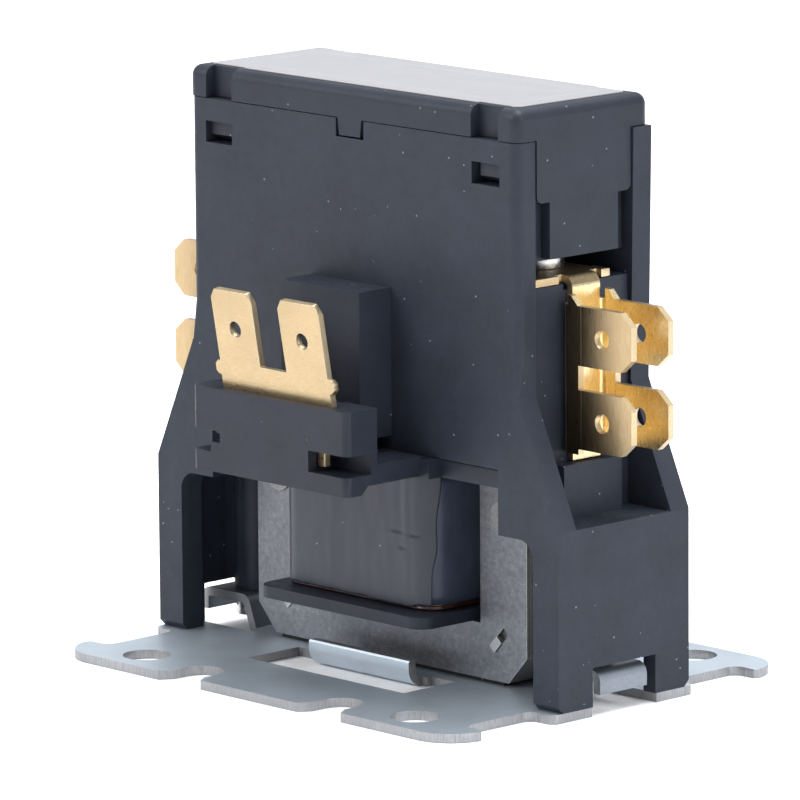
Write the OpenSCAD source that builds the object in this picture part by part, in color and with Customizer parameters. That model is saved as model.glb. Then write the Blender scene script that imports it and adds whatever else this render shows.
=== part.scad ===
// Slim single-pole power relay (definite-purpose contactor) built as an
// assembly of separate pieces. Millimetres, +Z up, terminals at the X ends,
// coil terminals on the two broad faces (-Y and +Y), origin at the bottom
// centre of the mounting plate.

/* [Housing] */
// Half length of the upper housing along X
top_hx = 25.45; // [25.4:0.05:25.5]
// Half length of the lower housing along X
low_hx = 31.4; // [31.3:0.05:31.5]
// Half depth of the housing along Y
body_hy = 9.75; // [9.7:0.05:9.8]
// Height of the housing rim where the cover sits
rim_z = 60.9; // [60.8:0.1:61.1]

/* [Cover and label] */
// Height of the top of the cover
cover_z = 64.4; // [64.2:0.1:64.8]
// Edge rounding of the cover
cover_r = 1.2; // [0.8:0.1:1.4]
// Thickness of the label
label_t = 0.12; // [0.1:0.01:0.16]

/* [Mounting plate] */
// Thickness of the plate sheet
plate_t = 1.0; // [0.9:0.05:1.0]
// Mounting hole spacing along X
hole_dx = 42.3; // [41.8:0.1:42.8]
// Mounting hole spacing along Y
hole_dy = 41.7; // [41.2:0.1:42.2]
// Mounting hole diameter
hole_d = 5.3; // [4.8:0.1:5.6]

/* [Terminals] */
// Width of every quick-connect tab
tab_w = 6.35; // [6.3:0.05:6.4]
// Thickness of every quick-connect tab
tab_t = 0.8; // [0.75:0.05:0.85]

/* [Coil springs] */
// Wire diameter of the return springs
ret_wire = 0.5; // [0.4:0.05:0.55]
// Turns of each return spring
ret_turns = 5; // [4:1:6]
// Turns of the contact spring
con_turns = 4; // [3:1:4]

/* [Hidden] */
$fn = 48;
e = 0.01;
in_y = 7.05;            // inner faces of the side walls, upper part
low_in_y = 6.8;         // inner faces of the side walls, lower part
core_hx = 21.1;         // laminated core, half width
core_hy = 4.3;          // laminated core, half stack
core_z0 = 1.4;          // underside of the fixed core
core_z1 = 26.7;         // pole faces of the fixed core
yoke_z = 7.4;           // top of the fixed yoke
leg_in = 14.0;          // inner edge of the outer legs
mid_hx = 7.1;           // half width of the centre leg
arm_z0 = 30.8;          // pole faces of the armature at rest
arm_z1 = 41.8;          // top of the armature at rest
con_z = 47.5;           // top of the fixed contacts
scr_x = 26.9;           // plate screws, distance from the centre
cov_hx = top_hx + 0.15; // cover, half length
cov_hy = body_hy + 0.05; // cover, half depth

// Which piece to draw

// ---------- helpers ----------
module bx(x0, x1, y0, y1, z0, z1) { translate([x0, y0, z0]) cube([x1 - x0, y1 - y0, z1 - z0]); }
// box centred on the Z axis in X and Y
module cbx(hx, hy, z0, z1) { bx(-hx, hx, -hy, hy, z0, z1); }
// box with rounded vertical edges
module rbx(hx, hy, r, z0, z1) {
  bx(-hx + r, hx - r, -hy, hy, z0, z1);
  bx(-hx, hx, -hy + r, hy - r, z0, z1);
  for (sx = [-1, 1], sy = [-1, 1]) translate([sx * (hx - r), sy * (hy - r), z0]) cylinder(r = r, h = z1 - z0);
}
// prism of an XZ outline between two Y planes
module xz(pts, y0, y1) { translate([0, y1, 0]) rotate([90, 0, 0]) linear_extrude(y1 - y0) polygon(pts); }
module both_x() { children(); mirror([1, 0, 0]) children(); }
module both_y() { children(); mirror([0, 1, 0]) children(); }
module four() { both_x() both_y() children(); }
module ycyl(x, z, r, y0, y1) { translate([x, y0, z]) rotate([-90, 0, 0]) cylinder(r = r, h = y1 - y0); }
module xcyl(y, z, r, x0, x1) { translate([x0, y, z]) rotate([0, 90, 0]) cylinder(r = r, h = x1 - x0); }
// helical spring standing on z0, a tube swept along the helix
module spring(rm, rw, z0, z1, turns) {
  seg = 16; side = 8; n = seg * turns;
  pitch = (z1 - z0 - 2 * rw) / turns;
  pts = [for (i = [0:n], k = [0:side - 1])
    let (a = 360 * i / seg, b = 360 * k / side, r = rm + rw * cos(b))
    [r * cos(a), r * sin(a), z0 + rw + pitch * i / seg + rw * sin(b)]];
  faces = concat(
    [[for (k = [0:side - 1]) k]],
    [for (i = [0:n - 1], k = [0:side - 1]) let (k2 = (k + 1) % side)
      [i * side + k, (i + 1) * side + k, (i + 1) * side + k2, i * side + k2]],
    [[for (k = [side - 1:-1:0]) n * side + k]]);
  polyhedron(pts, faces, convexity = 6);
}

// ---------- housing ----------
module outer_shape() {
  xz([[-low_hx, plate_t], [low_hx, plate_t], [low_hx, 20.4], [top_hx, 33.8], [top_hx, rim_z],
      [-top_hx, rim_z], [-top_hx, 33.8], [-low_hx, 20.4]], -body_hy, body_hy);
}
module corner_round(x, z0, z1, r) {
  // removes the sharp vertical corner at (x, -body_hy)
  difference() {
    bx(x - r, x + 1, -body_hy - 1, -body_hy + r, z0, z1);
    translate([x - r, -body_hy + r, z0 - 1]) cylinder(r = r, h = z1 - z0 + 2);
  }
}
module housing() {
  color([0.27, 0.28, 0.32]) {
    difference() {
      union() {
        outer_shape();
        // the ends of the rear wall lean out a little towards the rim
        both_x() xz([[top_hx - 1, 33.8], [top_hx, 33.8], [top_hx + 0.45, rim_z], [top_hx - 1, rim_z]], in_y, body_hy);
        // hollow boxes on the broad faces above the coil terminal blocks
        both_y() bx(-6.15, 6.15, -14.33, -body_hy + 1, 27.5, 43.5);
      }
      // rounded upright corners of the front face, running out above the flare
      both_x() {
        corner_round(top_hx, 38.5, rim_z + 1, 1.2);
        difference() {
          bx(top_hx - 1.2, top_hx + 1, -body_hy - 1, -body_hy + 1.2, 34, 38.5 + e);
          hull() {
            translate([top_hx - 0.25, -body_hy + 0.25, 33.9]) cylinder(r = 0.25, h = 0.1, $fn = 32);
            translate([top_hx - 1.2, -body_hy + 1.2, 38.5]) cylinder(r = 1.2, h = 0.1, $fn = 32);
            translate([top_hx - 4, -body_hy + 1.0, 33.9]) cube([1, 3, 4.7]);
            translate([top_hx - 4, -body_hy, 33.9]) cube([1, 0.3, 4.7]);
            translate([top_hx - 1, -body_hy + 3, 33.9]) cube([1, 1, 4.7]);
          }
        }
      }
      // contact space, open at the top and at both ends
      cbx(40, in_y, 45.2, 70);
      // armature chamber
      cbx(22.5, in_y, 25, 43.2);
      cbx(13.9, in_y, 43, 46);
      // coil and core chamber, open at the bottom
      cbx(29.6, low_in_y, 0, 18.8);
      cbx(22.5, low_in_y, 18, 26);
      // space between the cross walls and the ends of the side walls
      both_x() difference() {
        bx(25.0, 40, -in_y, in_y, 20.4, 46);
        bx(24, 26.8, -4.3, 4.3, 19, 26.2);
      }
      // relief for the bend of the terminals
      both_x() bx(24.5, 30, -2.6, 2.6, 44.6, 46);
      // windows in the broad faces that show the coil and the core
      difference() {
        cbx(27.6, 20, 0, 18.96);
        four() difference() {
          bx(25.6, 28, -21, 0.5, 16.96, 19.5);
          ycyl(25.6, 16.96, 2.0, -22, 1);
        }
      }
      cbx(22.4, 20, 0, 25.97);
      // cut-outs in the end walls between the feet
      cbx(40, 4.7, 0, 5.25);
      // hollow inside of the boxes, open downwards
      both_y() bx(-4.75, 4.75, -12.9, -body_hy + 0.6, 26, 41.9);
      // latch windows
      four() bx(18.65, 22.85, -body_hy - 1, -in_y + 1, 56.1, 58.45);
      // notch for the cover's middle tab
      both_y() bx(-2.15, 2.15, -body_hy - 1, -in_y + 1, 58.9, 62);
      // chamfered feet
      four() translate([low_hx, -body_hy, plate_t]) rotate([45, 0, 0]) cube([30, 1.0, 1.0], center = true);
    }
    // half-round screw columns standing on the plate tongues
    both_x() difference() {
      union() {
        translate([scr_x - 0.9, 0, 4.65]) cylinder(r = 1.95, h = 14.4);
        translate([scr_x, 0, 4.65]) cylinder(r = 1.95, h = 14.4);
        bx(scr_x, 29.8, -1.5, 1.5, 5.6, 19);
      }
      translate([scr_x, 0, 4]) cylinder(r = 1.05, h = 9.5);
    }
    // guide ribs for the contact carrier
    four() bx(11.4, 13.9 + e, -in_y - e, -5.9, 25.99 + 2, 45.2);
  }
}

// ---------- cover ----------
module round_slab(hx, hy, r, z0, z1) {
  // slab with rounded upright edges and a rounded top edge
  rbx(hx, hy, r, z0, z1 - r);
  bx(-hx + r, hx - r, -hy + r, hy - r, z0, z1);
  for (s = [-1, 1]) {
    xcyl(s * (hy - r), z1 - r, r, -hx + r, hx - r);
    ycyl(s * (hx - r), z1 - r, r, -hy + r, hy - r);
    for (t = [-1, 1]) translate([s * (hx - r), t * (hy - r), z1 - r])
      rotate_extrude() intersection() { circle(r = r); translate([0, -r]) square([r, 2 * r]); }
  }
}
module cover() {
  color([0.25, 0.26, 0.30]) difference() {
    union() {
      round_slab(cov_hx, cov_hy, cover_r, rim_z + 0.1, cover_z);
      // middle tabs
      both_y() xz([[-2.0, 62], [-1.6, 59.1], [1.6, 59.1], [2.0, 62]], -body_hy - 0.03, -7.4);
      // end skirts: wide part, then a narrower tongue
      both_x() {
        difference() {
          bx(24.1, cov_hx, -6.95, 6.95, 54.3, 62);
          for (s = [-1, 1]) difference() {
            bx(23, 26, s > 0 ? 6.15 : -7.2, s > 0 ? 7.2 : -6.15, 54, 55.1);
            xcyl(s * 6.15, 55.1, 0.8, 22, 27);
          }
        }
        bx(24.1, cov_hx - 0.05, -5.05, 5.05, 48.2, 56);
        // arc barrier behind the skirt
        bx(22.75, 24.2, -6.95, 6.95, 47.9, 62);
      }
      // latches that snap into the windows of the housing
      four() {
        bx(19.0, 22.7, -6.95, -5.7, 55.2, 62);
        translate([19.3, 0, 0]) rotate([90, 0, 90]) linear_extrude(3.4)
          polygon([[-6.5, 58.35], [-9.05, 58.35], [-9.05, 56.95], [-6.95, 55.8], [-6.5, 55.8]]);
      }
      // locating rim inside the housing mouth, with arc barriers
      difference() {
        cbx(17.5, 6.9, 58.6, 62);
        cbx(16.0, 5.4, 58, 63);
        cbx(6.4, 8, 58, 60.93);
      }
    }
    // finger recesses over the latches
    four() bx(18.6, 22.7, -11, -8.55, 60, 66);
    // hollow underside
    cbx(22.6, 5.4, 60, cover_z - 1.8);
  }
}

// ---------- label ----------
module label() {
  color([0.92, 0.92, 0.94]) translate([0, 0, cover_z]) linear_extrude(label_t) difference() {
    square([47.8, 16.6], center = true);
    for (sx = [-1, 1], sy = [-1, 1]) {
      translate([sx * 20.65, sy * 8.4]) square([5.0, 0.9], center = true);
      translate([sx * 23.9, sy * 8.3]) rotate(45) square([1.1, 1.1], center = true);
    }
  }
}

// ---------- mounting plate ----------
module plate_outline() {
  // one quarter mirrored: lobes at the corners, pads under the feet
  for (sx = [-1, 1], sy = [-1, 1]) scale([sx, sy]) {
    square([28.05, 20.6]);
    square([26.25, 25.25]);
    // pad
    difference() {
      translate([25, 0]) square([6.4, 10.65]);
      translate([30.4, 9.65]) difference() { square([2, 2]); circle(r = 1.0); }
    }
    translate([27.9, 10.5]) difference() { square([1.3, 1.3]); translate([1.3, 1.3]) circle(r = 1.15); }
    // corner lobe: quarter disc with a small rounded shoulder
    difference() {
      union() {
        intersection() {
          translate([26.2, 20.35]) circle(r = 4.9);
          translate([20, 20.4]) square([15, 10]);
        }
        translate([27.9, 19.4]) difference() { square([1.3, 1.1]); translate([1.3, -0.15]) circle(r = 1.15); }
      }
      translate([30.3, 20.3]) difference() { square([2, 0.8]); translate([-0.1, 0.8]) circle(r = 0.85); translate([0.3, 0.75]) square([2, 2]); }
    }
  }
}
module plate_blank() {
  difference() {
    linear_extrude(plate_t) difference() {
      plate_outline();
      for (sx = [-1, 1], sy = [-1, 1]) scale([sx, sy]) {
        // open edge slots with widened mouths
        translate([11.0, 22.0]) circle(r = 2.45);
        translate([8.55, 22.0]) square([4.9, 5]);
        translate([11.0, 25.3]) polygon([[-3.9, 0.5], [-3.2, -0.3], [-2.45, -1.5], [2.45, -1.5], [3.2, -0.3], [3.9, 0.5]]);
        // relief beside the tongues
        translate([22.0, -1]) square([20, 5.85]);
        // slots that the side lips were cut from, with relief corners
        translate([-1, 7.1]) square([13.3, 7.0]);
        translate([8.6, 6.5]) square([3.7, 6]);
      }
    }
    four() translate([hole_dx / 2, -hole_dy / 2, -1]) cylinder(d = hole_d, h = 4);
  }
}
// points on an arc, for the bends of the sheet
function arc(cx, cz, r, a0, a1, n) = [for (i = [0:n]) let (a = a0 + (a1 - a0) * i / n) [cx + r * cos(a), cz + r * sin(a)]];
module base_plate() {
  h = plate_t / 2;
  color([0.62, 0.66, 0.70]) {
    plate_blank();
    // raised tongues for the screws, hooked down at their ends
    both_x() difference() {
      xz(concat([[21.7, plate_t]], arc(22.2, 1.4, 0.9 - h, -90, -20, 8), arc(24.78, 3.22, 0.9 + h, 160, 90, 8),
                arc(30.03, 3.22 + 0.13, 0.77 + h, 90, 0, 8), [[30.8 + h, 2.1], [30.8 - h, 2.1]],
                arc(30.03, 3.35, 0.77 - h, 0, 90, 4), arc(24.78, 3.22, 0.9 - h, 90, 160, 6),
                arc(22.2, 1.4, 0.9 + h, -20, -90, 8), [[21.7, 0]]), -3.5, 3.5);
      translate([scr_x, 0, 2]) cylinder(r = 1.2, h = 4);
    }
    // bent-up side lips, turned up through a quarter circle
    both_y() translate([-7.85, 0, 0]) rotate([90, 0, 90]) linear_extrude(15.7)
      polygon(concat(arc(-7.1, 2.0, 2.0, -90, -180, 12), [[-9.1, 2.75], [-8.95, 2.95], [-9.1 + plate_t + 0.1, 2.95], [-9.1 + plate_t, 2.85]],
                     arc(-7.1, 2.0, 2.0 - plate_t, -180, -90, 12), [[-6.9, plate_t], [-6.9, 0]]));
  }
}
module base_screws() {
  color([0.72, 0.73, 0.75]) both_x() {
    difference() {
      translate([scr_x, 0, 1.7]) cylinder(r = 1.8, h = 1.9);
      translate([scr_x, 0, 2.0]) cube([0.6, 2.6, 0.9], center = true);
      translate([scr_x, 0, 2.0]) cube([2.6, 0.6, 0.9], center = true);
    }
    translate([scr_x, 0, 3.5]) cylinder(r = 1.0, h = 9);
    translate([scr_x, 0, 12.5]) cylinder(r1 = 1.0, r2 = 0.4, h = 0.7);
  }
}

// ---------- magnet ----------
module core_pad() { color([0.10, 0.10, 0.11]) cbx(17.5, core_hy - 0.1, plate_t, core_z0); }
module rivet_holes(z) { for (x = [-17.55, 17.55]) ycyl(x, z, 1.5, -6, 6); }
module fixed_core() {
  color([0.50, 0.51, 0.53]) difference() {
    xz([[-18.3, core_z0], [18.3, core_z0], [core_hx, 4.5], [core_hx, core_z1], [-core_hx, core_z1], [-core_hx, 4.5]], -core_hy, core_hy);
    both_x() bx(mid_hx, leg_in, -6, 6, yoke_z, 30);
    bx(-mid_hx - 1, mid_hx + 1, -6, 6, core_z1 - 0.15, 30);
    rivet_holes(19.3);
    // slots for the shading rings in the outer pole faces
    both_x() { bx(15.3, 16.1, -6, 6, core_z1 - 2.2, 30); bx(19.6, 20.4, -6, 6, core_z1 - 2.2, 30); }
    // punched interlocks
    four() translate([16.9, -core_hy, 5.9]) rotate([0, -48, 0]) cube([3.0, 1.4, 1.05], center = true);
  }
  color([0.50, 0.51, 0.53]) four() translate([16.45, -core_hy + 0.2, 5.4]) rotate([0, -48, 0]) cube([1.6, 0.8, 1.0], center = true);
}
module core_rivets() {
  color([0.66, 0.67, 0.69]) for (x = [-17.55, 17.55]) {
    ycyl(x, 19.3, 1.45, -core_hy, core_hy);
    ycyl(x, 19.3, 1.9, -core_hy - 0.22, -core_hy);
    ycyl(x, 19.3, 1.9, core_hy, core_hy + 0.22);
  }
}
module shading_rings() {
  color([0.72, 0.42, 0.26]) both_x() difference() {
    bx(15.35, 20.35, -core_hy - 0.9, core_hy + 0.9, core_z1 - 2.1, core_z1 - 0.9);
    bx(16.05, 19.65, -core_hy - 0.05, core_hy + 0.05, core_z1 - 3, core_z1);
  }
}
module armature() {
  color([0.50, 0.51, 0.53]) difference() {
    bx(-core_hx, core_hx, -core_hy, core_hy, arm_z0, arm_z1);
    both_x() bx(mid_hx, leg_in, -6, 6, arm_z0 - 1, 35.8);
    ycyl(0, 38.8, 1.55, -6, 6);
    for (x = [-17.55, 17.55]) ycyl(x, 38.6, 1.5, -6, 6);
    both_x() translate([core_hx, 0, arm_z1]) rotate([0, 45, 0]) cube([2.2, 20, 2.2], center = true);
  }
}
module armature_rivets() {
  color([0.66, 0.67, 0.69]) for (x = [-17.55, 17.55]) {
    ycyl(x, 38.6, 1.45, -core_hy, core_hy);
    ycyl(x, 38.6, 1.9, -core_hy - 0.4, -core_hy); ycyl(x, 38.6, 1.9, core_hy, core_hy + 0.4);
  }
}
module armature_pin() { color([0.70, 0.71, 0.73]) ycyl(0, 38.8, 1.5, -6.7, 6.7); }

// ---------- coil ----------
module block_shape() {
  // side outline of the terminal block and its neck, front half, in YZ
  translate([-12.1, 0, 0]) rotate([90, 0, 90]) linear_extrude(24.2)
    polygon([[-21.9, 23.2], [-19.7, 23.2], [-18.8, 24.1], [-9.0, 24.1], [-9.0, 25.8], [-11.2, 26.2], [-17.45, 26.2], [-17.45, 32.3], [-21.9, 32.3]]);
}
module bobbin() {
  color([0.13, 0.13, 0.15]) difference() {
    union() {
      cbx(8.2, 5.4, 7.5, 24.5);
      rbx(13.0, 12.1, 2.0, 7.5, 8.8);
      cbx(22.2, 9.4, 23.9, 25.8);
      both_y() {
        difference() {
          block_shape();
          // rounded upright corners of the block
          both_x() difference() {
            bx(11.3, 13, -23, -21.1, 20, 40);
            translate([11.3, -21.1, 19]) cylinder(r = 0.8, h = 22);
          }
        }
        bx(-13.4, 13.4, -11.2, -9.3, 23.9, 25.9);
      }
    }
    // bore for the centre leg and openings for the outer legs
    cbx(mid_hx + 0.15, core_hy + 0.15, 7, 30);
    both_x() bx(13.85, core_hx + 0.15, -core_hy - 1.05, core_hy + 1.05, 23, 30);
    both_y() {
      // notches low in the block where the winding ends come up
      bx(-13, -9.2, -23, -17, 25.35, 27.68);
      bx(-9.25, -7.75, -23, -18.2, 26.45, 27.68);
      bx(6.15, 13, -23, -18.3, 25.25, 27.55);
      // slot that holds the coil terminal
      bx(-8.75, 8.75, -20.64, -19.74, 29.5, 33);
      both_x() bx(6.1, 7.5, -20.64, -19.74, 25.4, 33);
      // wire slots through the neck
      both_x() { bx(6.3, 7.3, -17.9, -10.6, 23, 40); bx(6.3, 7.3, -19.8, -17.2, 26.6, 27.8); }
    }
  }
}
module coil_winding() {
  color([0.45, 0.20, 0.12]) difference() {
    rbx(11.9, 9.3, 2.7, 8.9, 23.8);
    cbx(8.25, 5.45, 8, 25);
  }
}
module coil_tape() {
  color([0.30, 0.31, 0.34]) difference() {
    rbx(12.2, 9.6, 3.0, 9.5, 23.3);
    rbx(11.93, 9.33, 2.73, 9, 24);
  }
}
module coil_terminal() {
  // sheet seen from its end: upright in the slot, leaning outwards by ten degrees above it
  k = tab_t / 2;
  lean = 10;
  tall = 11.36;
  m = k * tan(lean / 2);
  color([0.84, 0.72, 0.46]) translate([0, -20.19, 32.2]) difference() {
    intersection() {
      translate([-10, 0, 0]) rotate([90, 0, 90]) linear_extrude(20) polygon([[-k, -6.5], [k, -6.5], [k, m],
        [-tall * sin(lean) + k * cos(lean), tall * cos(lean) + k * sin(lean)],
        [-tall * sin(lean) - k * cos(lean), tall * cos(lean) - k * sin(lean)], [-k, -m]]);
      // sheet seen from the front
      translate([0, 10, 0]) rotate([90, 0, 0]) linear_extrude(20) union() {
        polygon([[-8.5, -2.5], [8.5, -2.5], [8.5, 1.5], [8.8, 1.5], [9.2, 1.9], [9.2, 2.7], [8.8, 3.1],
                 [-8.8, 3.1], [-9.2, 2.7], [-9.2, 1.9], [-8.8, 1.5], [-8.5, 1.5]]);
        for (x = [-5.22, 5.22]) translate([x, 0])
          polygon([[-tab_w / 2, 2.5], [tab_w / 2, 2.5], [tab_w / 2, 10.15], [tab_w / 2 - 1.2, 12], [-tab_w / 2 + 1.2, 12], [-tab_w / 2, 10.15]]);
        for (x = [-6.8, 6.8]) translate([x - 0.55, -7]) square([1.1, 5]);
      }
    }
    rotate([10, 0, 0]) both_x() ycyl(5.22, 7.06, 0.88, -3, 3);
  }
}
module coil_terminal_front() { coil_terminal(); }
module coil_terminal_rear() { mirror([0, 1, 0]) coil_terminal(); }
module lead(x) {
  // out from under the tape, up through the neck slot and along to the tail
  translate([x, 0, 0]) {
    translate([0, -9.65, 22.9]) rotate([90, 0, 0]) cylinder(r = 0.3, h = 1.55, $fn = 24);
    translate([0, -11.2, 22.9]) sphere(r = 0.3, $fn = 24);
    translate([0, -11.2, 22.9]) cylinder(r = 0.3, h = 4.3, $fn = 24);
    translate([0, -11.2, 27.2]) sphere(r = 0.3, $fn = 24);
    translate([0, -11.2, 27.2]) rotate([90, 0, 0]) cylinder(r = 0.3, h = 8.57, $fn = 24);
  }
}
module coil_leads() { color([0.72, 0.38, 0.20]) { lead(-6.8); mirror([0, 1, 0]) lead(6.8); } }

// ---------- main terminals and fixed contacts ----------
module blade_pair(z0) {
  // two opposite blades that point outwards from the web
  for (s = [-1, 1]) difference() {
    xz([[27.7, z0], [34.05, z0], [35.65, z0 + 1.4], [35.65, z0 + tab_w - 1.4], [34.05, z0 + tab_w], [27.7, z0 + tab_w]],
       s < 0 ? -3.15 : 3.15 - tab_t, s < 0 ? -3.15 + tab_t : 3.15);
    ycyl(31.3, z0 + tab_w / 2, 1.05, -5, 5);
  }
}
module terminal() {
  w = 3.15;
  color([0.80, 0.62, 0.33]) difference() {
    union() {
      // contact plate with a wing on each side of the neck
      bx(14.6, 24.2, -3.9, 3.9, 45.3, 46.1);
      bx(22.6, 24.95, -6.75, -3.15, 45.3, 46.1);
      bx(22.6, 24.95, 3.15, 4.4, 45.3, 46.1);
      bx(24.1, 24.6, -2.05, 2.05, 45.3, 46.1);
      // bend of the neck
      difference() {
        ycyl(24.56, 44.8, 1.3, -2.05, 2.05);
        ycyl(24.56, 44.8, 0.5, -3, 3);
        bx(20, 24.56, -3, 3, 43, 47);
        bx(20, 30, -3, 3, 43, 44.8);
      }
      // web with a flange on each side
      bx(25.06, 25.86, -2.05, 2.05, 26.4, 44.81);
      translate([0, 0, 27.4]) linear_extrude(43.3 - 27.4) difference() {
        union() {
          translate([26.31, -w]) square([1.5, 2 * w]);
          translate([25.06, -w + 1.25]) square([2, 2 * w - 2.5]);
          for (s = [-1, 1]) translate([26.31, s * (w - 1.25)]) circle(r = 1.25, $fn = 48);
        }
        translate([26.31, -w + 0.8]) square([3, 2 * w - 1.6]);
        translate([25.86, -w + 1.25]) square([2, 2 * w - 2.5]);
        for (s = [-1, 1]) translate([26.31, s * (w - 1.25)]) circle(r = 0.45, $fn = 48);
      }
      for (s = [-1, 1]) xz([[26.31, 43.2], [26.31, 44.35], [26.8, 44.25], [27.8, 43.2]], s > 0 ? w - 0.8 : -w, s > 0 ? w : -w + 0.8);
      blade_pair(28.0);
      blade_pair(36.95);
    }
    // rivet hole under the contact
    translate([18.9, 0, 40]) cylinder(r = 1.2, h = 10);
  }
}
module line_terminal() { terminal(); }
module load_terminal() { rotate([0, 0, 180]) terminal(); }
module contact_button() {
  color([0.80, 0.79, 0.77]) {
    translate([18.9, 0, 45.3]) cylinder(r = 1.15, h = 1.0);
    translate([18.9, 0, 46.1]) cylinder(r = 2.6, h = con_z - 46.1 - 0.2);
    translate([18.9, 0, con_z - 0.2]) cylinder(r1 = 2.6, r2 = 2.4, h = 0.2);
  }
}
module line_contact() { contact_button(); }
module load_contact() { mirror([1, 0, 0]) contact_button(); }

// ---------- moving contact system ----------
module contact_carrier() {
  color([0.20, 0.21, 0.23]) difference() {
    union() {
      cbx(11.2, 6.8, 36.0, 45.0);
      cbx(5.5, 6.6, 44.0, 59.9);
    }
    // pocket for the armature
    bx(-30, 30, -4.5, 4.5, 30, 42.0);
    // window for the bridge and its spring
    bx(-10, 10, -4.4, 4.4, 51.75, 58.0);
    // bore for the pin
    ycyl(0, 38.8, 1.55, -10, 10);
  }
  // post that centres the contact spring
  color([0.20, 0.21, 0.23]) translate([0, 0, 56.5]) cylinder(r = 0.85, h = 1.6);
}
module contact_bridge() {
  color([0.72, 0.45, 0.28]) difference() {
    union() {
      bx(-21.6, 21.6, -3.5, 3.5, 51.75, 52.95);
    }
    both_x() translate([18.9, 0, 50]) cylinder(r = 1.2, h = 5);
    four() translate([21.6, -3.5, 50]) rotate([0, 0, 45]) cube([1.6, 1.6, 8], center = true);
    // shallow seat for the spring
    difference() {
      translate([0, 0, 52.65]) cylinder(r = 2.9, h = 1);
      translate([0, 0, 52]) cylinder(r = 0.9, h = 2);
    }
  }
}
module bridge_contacts() {
  color([0.80, 0.79, 0.77]) both_x() {
    translate([18.9, 0, 51.7]) cylinder(r = 1.15, h = 1.25);
    translate([18.9, 0, 50.73]) cylinder(r = 2.5, h = 1.02);
    translate([18.9, 0, 50.53]) cylinder(r1 = 2.3, r2 = 2.5, h = 0.2);
  }
}
module contact_spring() { color([0.75, 0.76, 0.78]) spring(2.1, 0.3, 52.66, 57.98, con_turns); }
module return_springs() { color([0.75, 0.76, 0.78]) both_x() translate([10.55, 0, 0]) spring(2.3, ret_wire / 2, 25.82, 35.78, ret_turns); }

housing();
cover();
label();
base_plate();
base_screws();
core_pad();
fixed_core();
core_rivets();
shading_rings();
bobbin();
coil_winding();
coil_tape();
coil_terminal_front();
coil_terminal_rear();
coil_leads();
line_terminal();
load_terminal();
line_contact();
load_contact();
armature();
armature_rivets();
armature_pin();
contact_carrier();
contact_bridge();
bridge_contacts();
contact_spring();
return_springs();
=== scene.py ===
import bpy, bmesh, math
from mathutils import Vector, Matrix, noise


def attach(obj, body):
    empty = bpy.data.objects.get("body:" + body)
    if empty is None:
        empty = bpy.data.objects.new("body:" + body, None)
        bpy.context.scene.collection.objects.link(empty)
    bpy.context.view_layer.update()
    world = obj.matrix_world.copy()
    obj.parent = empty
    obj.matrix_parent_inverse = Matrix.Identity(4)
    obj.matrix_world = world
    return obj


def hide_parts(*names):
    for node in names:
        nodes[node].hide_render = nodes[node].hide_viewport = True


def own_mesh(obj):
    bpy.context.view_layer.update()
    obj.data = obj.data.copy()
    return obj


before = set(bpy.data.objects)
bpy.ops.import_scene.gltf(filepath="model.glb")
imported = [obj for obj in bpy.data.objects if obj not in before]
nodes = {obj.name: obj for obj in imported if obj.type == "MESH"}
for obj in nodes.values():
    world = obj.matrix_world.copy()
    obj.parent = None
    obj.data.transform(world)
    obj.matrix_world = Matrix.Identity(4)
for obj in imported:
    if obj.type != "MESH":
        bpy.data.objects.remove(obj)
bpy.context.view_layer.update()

MM = 0.001
scene = bpy.context.scene


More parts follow.
